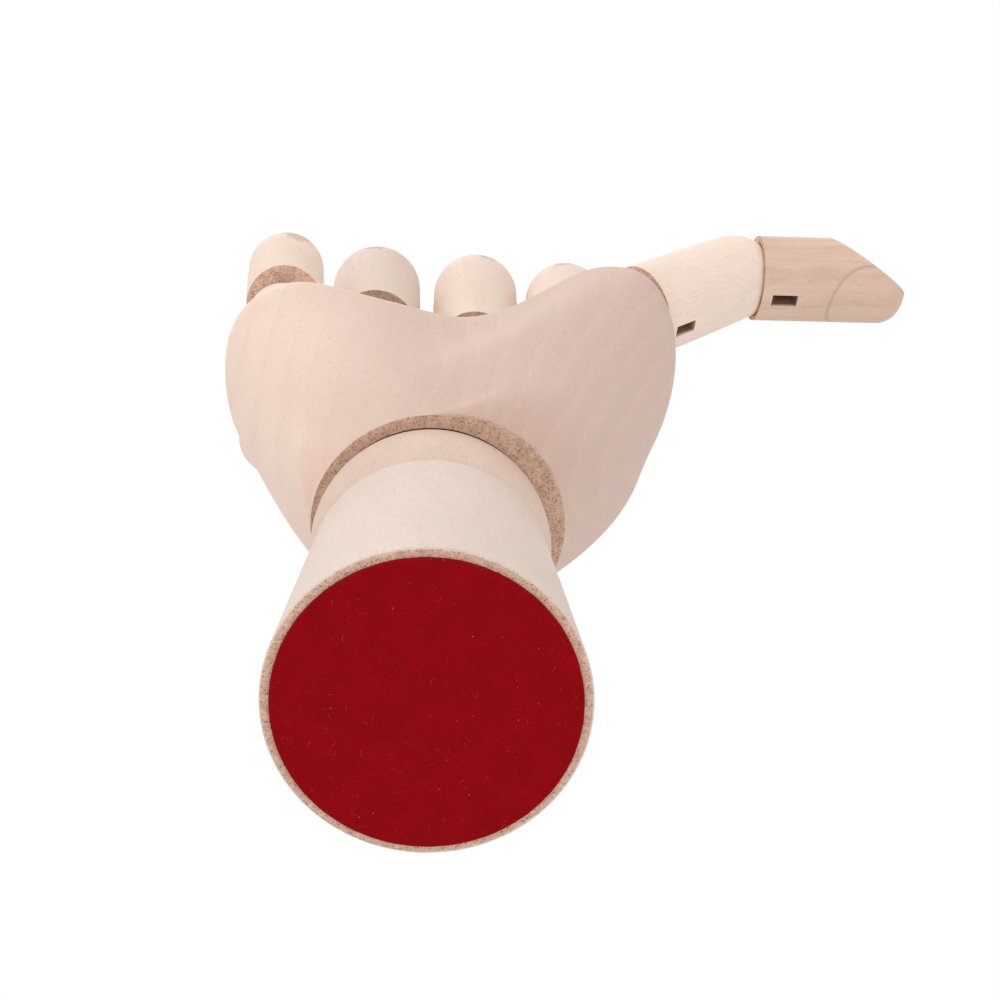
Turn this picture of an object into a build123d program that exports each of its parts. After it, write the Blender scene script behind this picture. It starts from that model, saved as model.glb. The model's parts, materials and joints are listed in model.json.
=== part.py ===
from build123d import *
from math import asin, cos, radians, sin, sqrt, tan
import os

# Jointed wooden hand on a turned base, a right hand with its palm facing -Y and its thumb towards +X.
# The frame has +Z up and its origin at the centre of the underside. All sizes are millimetres.

# Base
foot_diameter = 50.2
base_top_diameter = 37.4
base_height = 50.0
foot_edge_radius = 0.4
base_lip_radius = 0.5
felt_diameter = 47.2
felt_thickness = 1.0

# Wrist ball between the base and the palm
ball_diameter = 38.1
ball_clearance = 0.2
ball_rise = 8.0
palm_rise = 8.5
ball_cavity_radius = 5.9
ball_flare_degrees = 26.5
ball_flare_gap = 0.35

# Spring, its anchor pin and the tie rod
spring_bore_diameter = 10.0
spring_coil_diameter = 7.4
spring_wire_diameter = 1.2
spring_pitch = 1.7
spring_turns = 14
spring_top_drop = 3.5
spring_bend_share = 1.25
hook_radius = 2.6
hook_clearance = 0.35
anchor_diameter = 2.4
anchor_length = 24.0
anchor_slot_length = 25.0
anchor_slot_width = 2.8
anchor_slot_depth = 4.4
tie_rod_diameter = 2.4
tie_head_diameter = 5.6
tie_head_height = 1.6
bush_diameter = 9.0
bush_height = 6.5
bush_step = 1.5
bush_clearance = 0.1
bush_chamber_height = 4.0

# Palm, leaning forwards a little on the ball. Heights are above the ball's centre, along the palm.
palm_lean_degrees = 4.0
palm_half_width = 36.0
palm_half_depth = 20.0
palm_length = 46.0
wrist_width = 40.5
wrist_depth = 39.2
wrist_offset = 1.0
knuckle_drop_share = 0.68
knuckle_root_depth = 1.5
palm_top_slope_degrees = 6.0
palm_top_radius = 3.0
palm_top_side_drop = 2.0
mount_neck_length = 9.0
mount_seat_gap = 1.5
mount_seat_drop = 0.6

# Joints of steel links in saw slots. Every slot is one saw cut wide.
saw_cut = 2.0
link_thickness = 1.5
link_width = 4.0
link_reach = 3.6
link_end_gap = 0.3
slot_gap = 0.25
pin_diameter = 1.6
pin_running_gap = 0.06
pin_fit_gap = 0.02
pin_recess = 0.6
cup_gap = 0.25
window_length = 4.4
window_setback = 1.7
overrun = 5.0

# How each joint's end is cut: how far round the knuckle its cup reaches on the back and on the palm side
finger_back_degrees = 79.0
finger_front_degrees = 33.0
thumb_back_degrees = 64.0
thumb_front_degrees = 52.0

# Fingers: lengths between joints and from the last joint to the tip, radius at the knuckle and at the tip,
# and the bend of each joint at rest
finger_sizes = {
    "index": ((18.0, 14.5, 31.3), (7.15, 6.8), (1.5, 1.5, 1.5)),
    "middle": ((19.0, 15.5, 33.2), (7.5, 7.2), (1.5, 1.5, 1.5)),
    "ring": ((19.0, 17.0, 29.0), (7.6, 7.5), (1.5, 1.5, 1.5)),
    "little": ((18.0, 17.0, 20.0), (6.4, 6.4), (6.5, 3.5, 3.5)),
}
# Each knuckle's place across, back and up, as shares of the palm's half width, half depth and length
knuckle_place_shares = {
    "index": (0.6167, 0.4450, 1.0652),
    "middle": (0.1833, 0.5100, 1.0978),
    "ring": (-0.2917, 0.3350, 1.0652),
    "little": (-0.7110, 0.0500, 0.9348),
}
# How far the slots of each finger's three joints let them open and bend from the rest pose, in degrees. All
# fingers can close at the same time without reaching the palm's pads. The record stops the index finger's end
# joint at 40, where its tip stays clear of the thumb.
finger_ranges = {
    "index": ((-10.0, 45.0), (-8.0, 42.0), (-8.0, 45.0)),
    "middle": ((-10.0, 52.0), (-8.0, 50.0), (-8.0, 40.0)),
    "ring": ((-10.0, 50.0), (-8.0, 45.0), (-8.0, 38.0)),
    "little": ((-10.0, 44.0), (-8.0, 42.0), (-8.0, 38.0)),
}
segment_swell_share = 0.02
tip_flat_share = 0.3

# Thumb. Its place is in the same shares of the palm, and its ranges from the rest pose are those of its slots.
# The record stops the base at -18, before its foot meets the palm.
thumb_place_shares = (0.8530, -1.1200, 0.8370)
thumb_base_range = (-24.0, 20.0)
thumb_end_range = (-4.0, 60.0)
thumb_spread_degrees = 45.0
thumb_back_set_degrees = 2.5
thumb_roll_degrees = 16.0
thumb_lengths = (26.4, 28.8)
thumb_radii = (7.6, 6.95)
thumb_end_bend = -31.0
thumb_tip_round = 3.8
thumb_tip_slope_degrees = 37.0
thumb_tip_slope_length = 12.2
thumb_tip_turn_degrees = 32.0

# Outline of the palm at each height, as shares of its half width and half depth. Points run from the
# thumb's side round the back to the little finger's side and along the palm's hollow front. The last four
# points of each are the swell at the thumb's foot.
palm_level_shares = {
    0.391: ((0.758, 0.100), (0.611, 0.575), (0.333, 0.900), (0.000, 1.000),
           (-0.333, 0.850), (-0.542, 0.500), (-0.653, 0.075), (-0.694, -0.400),
           (-0.583, -0.975), (-0.306, -1.200), (0.000, -1.150), (0.278, -1.250),
           (0.528, -1.325), (0.750, -1.150), (0.861, -0.750), (0.847, -0.300)),
    0.587: ((0.889, 0.150), (0.722, 0.625), (0.403, 0.925), (0.000, 0.990),
           (-0.389, 0.800), (-0.639, 0.400), (-0.778, 0.000), (-0.847, -0.550),
           (-0.750, -1.200), (-0.389, -1.375), (0.000, -1.125), (0.306, -1.275),
           (0.611, -1.515), (0.875, -1.475), (1.017, -1.000), (1.006, -0.350)),
    0.739: ((0.933, 0.200), (0.772, 0.625), (0.431, 0.915), (0.000, 0.950),
           (-0.389, 0.725), (-0.681, 0.325), (-0.856, -0.100), (-0.953, -0.750),
           (-0.869, -1.525), (-0.444, -1.450), (-0.028, -1.125), (0.333, -1.200),
           (0.667, -1.550), (0.931, -1.615), (1.078, -1.175), (1.047, -0.450)),
    0.870: ((0.917, 0.250), (0.778, 0.625), (0.444, 0.890), (0.000, 0.915),
           (-0.389, 0.700), (-0.708, 0.350), (-0.897, -0.050), (-0.989, -0.750),
           (-0.908, -1.615), (-0.500, -1.525), (-0.083, -1.175), (0.222, -1.100),
           (0.500, -1.350), (0.736, -1.530), (0.917, -1.350), (0.972, -0.650)),
    1.150: ((0.889, 0.250), (0.778, 0.600), (0.444, 0.860), (0.000, 0.880),
           (-0.389, 0.700), (-0.708, 0.350), (-0.917, -0.050), (-1.014, -0.750),
           (-0.925, -1.550), (-0.500, -1.465), (-0.083, -1.075), (0.222, -0.975),
           (0.444, -1.050), (0.611, -1.150), (0.722, -0.975), (0.861, -0.350)),
}
wrist_point_degrees = (0, 35, 58, 90, 122, 150, 180, 205, 228, 248, 270, 292, 308, 322, 335, 348)

# What the sizes above fix
ball_radius = ball_diameter / 2
base_top = felt_thickness + base_height
ball_height = base_top + ball_rise
pin_radius = pin_diameter / 2
socket_radius = ball_radius + ball_clearance
rod_radius = tie_rod_diameter / 2
wire_radius = spring_wire_diameter / 2
hook_offset = wire_radius + hook_clearance / 2
link_end_radius = link_width / 2
bush_bottom = socket_radius + bush_step
bush_top = bush_bottom + bush_height
palm_frame = Pos(0, 0, ball_height) * Rot(palm_lean_degrees, 0, 0)


def box_between(low, high):
    """A box from its lowest corner to its highest."""
    size = [top - bottom for bottom, top in zip(low, high)]
    return Pos(*low) * Box(*size, align=(Align.MIN, Align.MIN, Align.MIN))


def rod_across(radius, length, height=0):
    """A round rod along X, centred over a joint."""
    return Pos(0, 0, height) * Rot(0, 90, 0) * Cylinder(radius, length)


def rod_up(radius, bottom, top):
    """A round rod along Z between two heights."""
    return Pos(0, 0, bottom) * Cylinder(radius, top - bottom, align=(Align.CENTER, Align.CENTER, Align.MIN))


def turned(edges):
    """A solid of revolution about Z from a closed outline drawn in the XZ plane."""
    return revolve(make_face(edges), Axis.Z)


def bent_wire(points, radius):
    """Straight runs of wire with a round corner at each point."""
    bend = radius * spring_bend_share
    wire = Pos(*points[0]) * Sphere(bend)
    for start, end in zip(points, points[1:]):
        run = Vector(*end) - Vector(*start)
        wire += Plane(origin=start, z_dir=run) * rod_up(radius, 0, run.length)
        wire += Pos(*end) * Sphere(bend)
    return wire


def make_felt_pad():
    """The round felt under the base."""
    return rod_up(felt_diameter / 2, 0, felt_thickness)


def make_turned_base():
    """The tapered post, with a cup for the ball, a bore for the spring and a slot for its pin."""
    foot = foot_diameter / 2
    top = base_top_diameter / 2
    outline = [(0, 0, felt_thickness), (foot, 0, felt_thickness), (top, 0, base_top), (0, 0, base_top)]
    post = turned(Polyline(*outline, close=True).edges())
    rims = post.edges().filter_by(GeomType.CIRCLE).sort_by(Axis.Z)
    post = fillet(rims[0], foot_edge_radius)
    rims = post.edges().filter_by(GeomType.CIRCLE).sort_by(Axis.Z)
    post = fillet(rims[-1], base_lip_radius)
    post -= Pos(0, 0, ball_height) * Sphere(socket_radius)
    post -= rod_up(spring_bore_diameter / 2, felt_thickness - overrun, ball_height)
    half_length = anchor_slot_length / 2
    half_width = anchor_slot_width / 2
    slot_floor = felt_thickness + anchor_slot_depth
    slot_low = (-half_length, -half_width, felt_thickness - overrun)
    post -= box_between(slot_low, (half_length, half_width, slot_floor))
    return post


def make_wrist_ball():
    """The wooden ball, hollowed so that the hook and the rod can swing in it."""
    ball = Sphere(ball_radius)
    ball -= Sphere(ball_cavity_radius)
    waist = rod_radius / cos(radians(ball_flare_degrees)) + ball_flare_gap
    mouth = waist + ball_radius * tan(radians(ball_flare_degrees))
    flare = Cone(waist, mouth, ball_radius, align=(Align.CENTER, Align.CENTER, Align.MIN))
    ball -= flare
    ball -= Rot(180, 0, 0) * flare
    return Pos(0, 0, ball_height) * ball


def hooked_wire(start, bend, eye):
    """A wire from the coil's end to its axis and along it to a round eye."""
    side = hook_radius if eye > bend else -hook_radius
    wire = bent_wire([start, (0, 0, bend), (0, 0, eye - side)], wire_radius)
    return wire + Pos(0, 0, eye) * Rot(0, 90, 0) * Torus(hook_radius, wire_radius)


def make_wrist_spring():
    """The coil in the base, hooked round its anchor pin below and to the tie rod at the ball's centre."""
    coil_radius = spring_coil_diameter / 2
    coil_top = ball_height - socket_radius - spring_top_drop
    coil_bottom = coil_top - spring_pitch * spring_turns
    path = Helix(spring_pitch, spring_pitch, coil_radius)
    turn = sweep(Plane(origin=path @ 0, z_dir=path % 0) * Circle(wire_radius), path=path)
    turns = [Pos(0, 0, coil_bottom + i * spring_pitch) * turn for i in range(spring_turns)]
    spring = turns[0].fuse(*turns[1:])
    top_eye = ball_height + hook_offset - hook_radius
    spring += hooked_wire((coil_radius, 0, coil_top), coil_top + coil_radius, top_eye)
    low_eye = anchor_height() - anchor_diameter / 2 - hook_offset + hook_radius
    spring += hooked_wire((coil_radius, 0, coil_bottom), coil_bottom - coil_radius, low_eye)
    return spring


def anchor_height():
    """The anchor pin lies against the top of its slot."""
    return felt_thickness + anchor_slot_depth - anchor_diameter / 2


def make_anchor_pin():
    """The steel pin across the base's underside."""
    return rod_across(anchor_diameter / 2, anchor_length, anchor_height())


def make_tie_rod():
    """The rod with an eye at the ball's centre and a head over the bush, in the palm's frame."""
    eye = hook_radius - hook_offset
    rod = Pos(0, 0, eye) * Rot(90, 0, 0) * Torus(hook_radius, wire_radius)
    head_bottom = bush_top + bush_clearance
    rod += rod_up(rod_radius, eye + hook_radius, head_bottom)
    rod += rod_up(tie_head_diameter / 2, head_bottom, head_bottom + tie_head_height)
    return palm_frame * rod


def make_tie_bush():
    """The plug in the palm that the rod turns in."""
    bush = rod_up(bush_diameter / 2, bush_bottom, bush_top)
    bush -= rod_up(rod_radius + bush_clearance, bush_bottom - overrun, bush_top + overrun)
    return palm_frame * bush


def across(direction, reference):
    """The part of a reference direction that is square to another."""
    return (reference - direction * reference.dot(direction)).normalized()


def palm_place(shares):
    """A place in the palm from its shares of the palm's half width, half depth and length."""
    sizes = (palm_half_width, palm_half_depth, palm_length)
    return Vector(*[share * size for share, size in zip(shares, sizes)])


def finger_joints(name):
    """The frames of a finger's joints in the palm's frame. Z runs to the tip and Y to the hand's back."""
    lengths, _, bends = finger_sizes[name]
    frame = Pos(*palm_place(knuckle_place_shares[name])) * Rot(bends[0], 0, 0)
    frames = [frame]
    for length, bend in zip(lengths, bends[1:]):
        frame = frame * Pos(0, 0, length) * Rot(bend, 0, 0)
        frames.append(frame)
    return frames


def thumb_joints():
    """The frames of the thumb's two joints in the palm's frame."""
    spread = radians(thumb_spread_degrees)
    back_set = radians(thumb_back_set_degrees)
    roll = radians(thumb_roll_degrees)
    along = Vector(sin(spread) * cos(back_set), sin(back_set), cos(spread) * cos(back_set))
    hinge = across(along, Vector(sin(roll), -cos(roll), 0))
    frame = Plane(origin=palm_place(thumb_place_shares), x_dir=hinge, z_dir=along).location
    return [frame, frame * Pos(0, 0, thumb_lengths[0]) * Rot(thumb_end_bend, 0, 0)]


def link_top(radius):
    """How far a joint's link reaches from its hinge into the outer piece."""
    return radius + cup_gap + link_reach


def make_link(radius):
    """A flat steel link with a running hole at its hinge and a tight one at its fixing pin."""
    hole_height = link_top(radius) - link_end_radius
    link = box_between(
        (-link_thickness / 2, -link_end_radius, 0),
        (link_thickness / 2, link_end_radius, hole_height),
    )
    link += rod_across(link_end_radius, link_thickness)
    link += rod_across(link_end_radius, link_thickness, hole_height)
    link -= rod_across(pin_radius + pin_running_gap, link_thickness + overrun)
    link -= rod_across(pin_radius + pin_fit_gap, link_thickness + overrun, hole_height)
    return link


def knuckle_cut(radius, swing):
    """What is sawn out of a round knuckle so that the link swings in it, with the hinge pin's hole."""
    half_width = link_end_radius + slot_gap
    half_sweep = radians(swing[1] - swing[0]) / 2
    reach = (radius + overrun) / cos(half_sweep)
    back, front = (radians(angle) for angle in swing)
    corners = []
    for angle, side, distance in ((back, 1, reach), (back, 1, 0), (front, -1, 0), (front, -1, reach)):
        y = -distance * sin(angle) + side * half_width * cos(angle)
        z = distance * cos(angle) + side * half_width * sin(angle)
        corners.append((0, y, z))
    face = make_face(Polyline(*corners, close=True).edges())
    cut = extrude(face, saw_cut / 2, dir=(1, 0, 0), both=True)
    cut += rod_across(half_width, saw_cut)
    cut += rod_across(pin_radius + pin_fit_gap, 2 * (radius + cup_gap))
    return cut


def foot_cut(radius, back_degrees, front_degrees):
    """What is cut off an outer piece's foot: the cup, the slanted end, the link's slot and its window."""
    cup = radius + cup_gap
    back = radians(back_degrees)
    front = radians(front_degrees)
    back_rim = Vector(0, cup * sin(back), cup * cos(back))
    front_rim = Vector(0, -cup * sin(front), cup * cos(front))
    rise = front_rim - back_rim
    slant = Plane(origin=back_rim, x_dir=(1, 0, 0), z_dir=Vector(0, rise.Z, -rise.Y))
    side = 2 * (radius + overrun) + link_top(radius)
    cut = Sphere(cup)
    cut += slant * Box(side, side, side, align=(Align.CENTER, Align.CENTER, Align.MAX))
    half_width = link_end_radius + slot_gap
    slot_top = link_top(radius) + link_end_gap
    cut += box_between((-saw_cut / 2, -half_width, 0), (saw_cut / 2, half_width, slot_top))
    window_bottom = back_rim.Z + window_setback
    cut += box_between(
        (-saw_cut / 2, 0, window_bottom),
        (saw_cut / 2, radius + overrun, window_bottom + window_length),
    )
    cut += rod_across(pin_radius + pin_fit_gap, 2 * (radius + overrun), link_top(radius) - link_end_radius)
    return cut


def segment_blank(length, foot_radius, end_radius):
    """A turned segment with a round knuckle about the joint at its end."""
    middle = (foot_radius + end_radius) / 2 * (1 + segment_swell_share)
    quarter = radians(45)
    return turned([
        Line((0, 0, 0), (foot_radius, 0, 0)),
        ThreePointArc((foot_radius, 0, 0), (middle, 0, length / 2), (end_radius, 0, length)),
        ThreePointArc(
            (end_radius, 0, length),
            (end_radius * cos(quarter), 0, length + end_radius * sin(quarter)),
            (0, 0, length + end_radius),
        ),
        Line((0, 0, length + end_radius), (0, 0, 0)),
    ])


def tip_blank(length, foot_radius, end_radius):
    """A turned fingertip, round with a small flat at its end."""
    flat = end_radius * tip_flat_share
    centre = length - sqrt(end_radius ** 2 - flat ** 2)
    halfway = asin((length - centre) / end_radius) / 2
    middle = (foot_radius + end_radius) / 2 * (1 + segment_swell_share)
    return turned([
        Line((0, 0, 0), (foot_radius, 0, 0)),
        ThreePointArc((foot_radius, 0, 0), (middle, 0, centre / 2), (end_radius, 0, centre)),
        ThreePointArc(
            (end_radius, 0, centre),
            (end_radius * cos(halfway), 0, centre + end_radius * sin(halfway)),
            (flat, 0, length),
        ),
        Line((flat, 0, length), (0, 0, length)),
        Line((0, 0, length), (0, 0, 0)),
    ])


def thumb_tip_blank(length, foot_radius, end_radius):
    """The thumb's tip, with a rounded end and a long slope on the side away from the palm."""
    blank = turned([
        Line((0, 0, 0), (foot_radius, 0, 0)),
        Line((foot_radius, 0, 0), (end_radius, 0, length)),
        Line((end_radius, 0, length), (0, 0, length)),
        Line((0, 0, length), (0, 0, 0)),
    ])
    rim = blank.edges().filter_by(GeomType.CIRCLE).sort_by(Axis.Z)[-1]
    blank = fillet(rim, thumb_tip_round)
    side = 2 * length
    slope = Pos(end_radius, 0, length - thumb_tip_slope_length) * Rot(0, -thumb_tip_slope_degrees, 0)
    slope = slope * Box(side, side, side, align=(Align.MIN, Align.CENTER, Align.CENTER))
    blank -= Rot(0, 0, -thumb_tip_turn_degrees) * slope
    return blank


def make_pins(places):
    """One pin for each place: a frame, the radius of the wood there and a height over the joint."""
    pins = []
    for frame, radius, height in places:
        pin = rod_across(pin_radius, 2 * (radius - pin_recess), height)
        pins.append(palm_frame * frame * pin)
    return pins


def make_finger(name):
    """All the pieces of one finger by node name."""
    lengths, radii, bends = finger_sizes[name]
    ranges = finger_ranges[name]
    frames = finger_joints(name)
    steps = [radii[0] + (radii[1] - radii[0]) * i / 2 for i in range(3)]
    parts = {}
    for i, segment in enumerate(("proximal", "middle", "distal")):
        radius = steps[i]
        here = palm_frame * frames[i]
        if segment == "distal":
            piece = tip_blank(lengths[i], radius, radii[1])
        else:
            outer = Pos(0, 0, lengths[i]) * Rot(bends[i + 1], 0, 0)
            piece = segment_blank(lengths[i], radius, steps[i + 1])
            piece -= outer * knuckle_cut(steps[i + 1], ranges[i + 1])
        piece -= foot_cut(radius, finger_back_degrees, finger_front_degrees)
        parts[f"{name}_{segment}"] = here * piece
        parts[f"{name}_{segment}_link"] = here * make_link(radius)
        places = [(frames[i], radius, link_top(radius) - link_end_radius)]
        if segment != "distal":
            places.append((frames[i + 1], steps[i + 1], 0))
        parts[f"{name}_{segment}_pins"] = make_pins(places)
    return parts


def make_thumb():
    """All the pieces of the thumb by node name."""
    frames = thumb_joints()
    root, end = thumb_radii
    outer = Pos(0, 0, thumb_lengths[0]) * Rot(thumb_end_bend, 0, 0)
    proximal = segment_blank(thumb_lengths[0], root, end)
    proximal -= outer * knuckle_cut(end, thumb_end_range)
    proximal -= foot_cut(root, thumb_back_degrees, thumb_front_degrees)
    distal = thumb_tip_blank(thumb_lengths[1], end, end)
    distal -= foot_cut(end, thumb_back_degrees, thumb_front_degrees)
    root_pin = link_top(root) - link_end_radius
    end_pin = link_top(end) - link_end_radius
    return {
        "thumb_proximal": palm_frame * frames[0] * proximal,
        "thumb_distal": palm_frame * frames[1] * distal,
        "thumb_proximal_link": palm_frame * frames[0] * make_link(root),
        "thumb_distal_link": palm_frame * frames[1] * make_link(end),
        "thumb_proximal_pins": make_pins([(frames[0], root, root_pin), (frames[1], end, 0)]),
        "thumb_distal_pins": make_pins([(frames[1], end, end_pin)]),
    }


def smooth_face(points):
    """A face inside a smooth closed curve."""
    return make_face(Spline(*points, periodic=True))


def palm_core():
    """The palm's body from its flat end at the wrist to above the knuckles."""
    wrist = []
    for degree in wrist_point_degrees:
        angle = radians(degree)
        wrist.append((wrist_offset + wrist_width / 2 * cos(angle), wrist_depth / 2 * sin(angle), palm_rise))
    sections = [smooth_face(wrist)]
    for height_share, shares in palm_level_shares.items():
        sections.append(smooth_face([palm_place((x, y, height_share)) for x, y in shares]))
    return loft(sections)


def above_knuckles():
    """What is cut off the top of the palm, along a smooth line over the knuckles that falls to the front."""
    tops = []
    for name, shares in knuckle_place_shares.items():
        place = palm_place(shares)
        tops.append((place.X, 0, place.Z - finger_sizes[name][1][0] * knuckle_drop_share))
    tops.sort()
    far = palm_half_width + overrun
    first = (-far, 0, tops[0][2] - palm_top_side_drop)
    last = (far, 0, tops[-1][2] - palm_top_side_drop)
    line = Spline(first, *tops, last)
    high = 2 * palm_length
    face = make_face([*line.edges(), *Polyline(first, (-far, 0, high), (far, 0, high), last).edges()])
    slope = radians(palm_top_slope_degrees)
    return extrude(face, 3 * palm_half_depth, dir=(0, cos(slope), sin(slope)), both=True)


def make_palm():
    """The carved palm with its socket, its bore, four knuckles and the thumb's mount."""
    palm = palm_core()
    palm -= above_knuckles()
    rim = [edge for edge in palm.edges() if edge.bounding_box().min.Z > palm_length / 2]
    palm = fillet(rim, palm_top_radius)
    hollow = Sphere(socket_radius) + rod_up(bush_diameter / 2 + pin_fit_gap, 0, bush_top)
    hollow += rod_up(tie_head_diameter / 2 + slot_gap, 0, bush_top + bush_chamber_height)
    palm -= hollow
    thumb = thumb_joints()[0]
    root = thumb_radii[0]
    palm -= thumb * rod_up(root + mount_seat_gap, -mount_seat_drop, palm_length)
    palm += thumb * (Sphere(root) + rod_up(root, -mount_neck_length, 0))
    for name, shares in knuckle_place_shares.items():
        radius = finger_sizes[name][1][0]
        place = palm_place(shares)
        root_piece = Plane(origin=place, z_dir=place) * rod_up(radius, -radius - knuckle_root_depth, 0)
        palm += Pos(*place) * Sphere(radius) + root_piece
    for name in knuckle_place_shares:
        palm -= finger_joints(name)[0] * knuckle_cut(finger_sizes[name][1][0], finger_ranges[name][0])
    palm -= thumb * knuckle_cut(root, thumb_base_range)
    return palm_frame * palm


def make_parts():
    """Every node of the hand, each a solid or a list of like solids."""
    parts = {
        "felt_pad": make_felt_pad(),
        "turned_base": make_turned_base(),
        "spring_anchor_pin": make_anchor_pin(),
        "wrist_spring": make_wrist_spring(),
        "wrist_ball": make_wrist_ball(),
        "tie_rod": make_tie_rod(),
        "tie_bush": make_tie_bush(),
        "palm": make_palm(),
    }
    knuckles = [(finger_joints(name)[0], sizes[1][0], 0) for name, sizes in finger_sizes.items()]
    knuckles.append((thumb_joints()[0], thumb_radii[0], 0))
    parts["knuckle_pins"] = make_pins(knuckles)
    for name in finger_sizes:
        parts.update(make_finger(name))
    parts.update(make_thumb())
    return parts


def main():
    """Write one file for each node."""
    os.makedirs("parts", exist_ok=True)
    for name, piece in make_parts().items():
        solids = piece if isinstance(piece, list) else [piece]
        solids = [solid for item in solids for solid in item.solids()]
        shape = solids[0] if len(solids) == 1 else Compound(children=solids)
        export_step(shape, f"parts/{name}.step")


if __name__ == "__main__":
    main()
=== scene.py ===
"""Finishes, stage and camera for a jointed wooden hand on a turned base."""
import json
import math
import random

import bmesh
import bpy
from mathutils import Matrix, Vector
from mathutils.bvhtree import BVHTree


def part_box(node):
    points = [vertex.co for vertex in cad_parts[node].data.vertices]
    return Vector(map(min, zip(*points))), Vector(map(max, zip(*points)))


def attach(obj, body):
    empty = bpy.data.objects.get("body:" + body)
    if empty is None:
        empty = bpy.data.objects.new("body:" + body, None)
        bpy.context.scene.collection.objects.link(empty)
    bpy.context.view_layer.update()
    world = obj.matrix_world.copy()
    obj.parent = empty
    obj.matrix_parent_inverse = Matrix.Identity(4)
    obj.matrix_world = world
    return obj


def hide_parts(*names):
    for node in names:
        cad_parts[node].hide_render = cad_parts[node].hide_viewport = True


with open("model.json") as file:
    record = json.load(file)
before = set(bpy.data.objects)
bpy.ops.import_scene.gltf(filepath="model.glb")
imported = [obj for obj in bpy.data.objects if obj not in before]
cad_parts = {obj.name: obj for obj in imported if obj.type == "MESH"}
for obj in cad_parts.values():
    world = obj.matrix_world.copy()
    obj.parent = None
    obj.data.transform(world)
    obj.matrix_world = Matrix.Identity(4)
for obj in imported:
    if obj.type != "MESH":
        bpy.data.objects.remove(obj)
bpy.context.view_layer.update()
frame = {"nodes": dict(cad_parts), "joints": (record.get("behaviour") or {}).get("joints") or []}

bl_info = {
    "name": "Jointed Wooden Hand",
    "version": (1, 0, 0),
    "blender": (4, 5, 0),
    "location": "View3D > Sidebar > Wooden Hand",
    "description": "Dresses a jointed wooden hand in raw wood, felt and steel",
    "category": "Object",
}

FINGERS = ("index", "middle", "ring", "little")
SEGMENTS = ("proximal", "middle", "distal")
JOINTS = {joint["name"]: joint for joint in frame["joints"]}

# How pale each finger's cut end is, as a share of the end grain's colour.
END_TONES = {"index": 1.1, "middle": 0.95, "ring": 0.8, "little": 1.3}

# A pin's filler, from its middle outwards and back in under the wood: share of its radius and lift in metres.
FILLER_ROWS = ((0.4, 0.00001), (0.8, 0.00001), (1.0, 0.000005), (1.07, -0.00003), (0.85, -0.00006))
FILLER_TOP_ROWS = 2
FILLER_SIDES = 24
FILLER_FLOOR = 0.00005
DEEPEST_HOLE = 0.004
SAME_PIN = 0.003
SAME_POINT = 0.0000005

# Felt and spring.
FELT_SIDES = 144
FELT_UNEVEN = 0.00003
FELT_WAVES = 9
EYE_STEPS = 32
BEND_STEPS = 8

# Stage, in metres: each lamp's name, place, size and the property that holds its power.
LAMPS = (
    ("key_lamp", (-0.6, -1.0, -0.25), 0.7, "key_power"),
    ("fill_lamp", (0.35, -0.35, -0.85), 0.8, "fill_power"),
    ("top_lamp", (-0.35, -0.5, 0.95), 0.8, "top_power"),
)
LAMPS_FACE = (0.01, 0, 0.09)
FLOOR_HALF = 3.0
FLOOR_DROP = 0.0006


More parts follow.
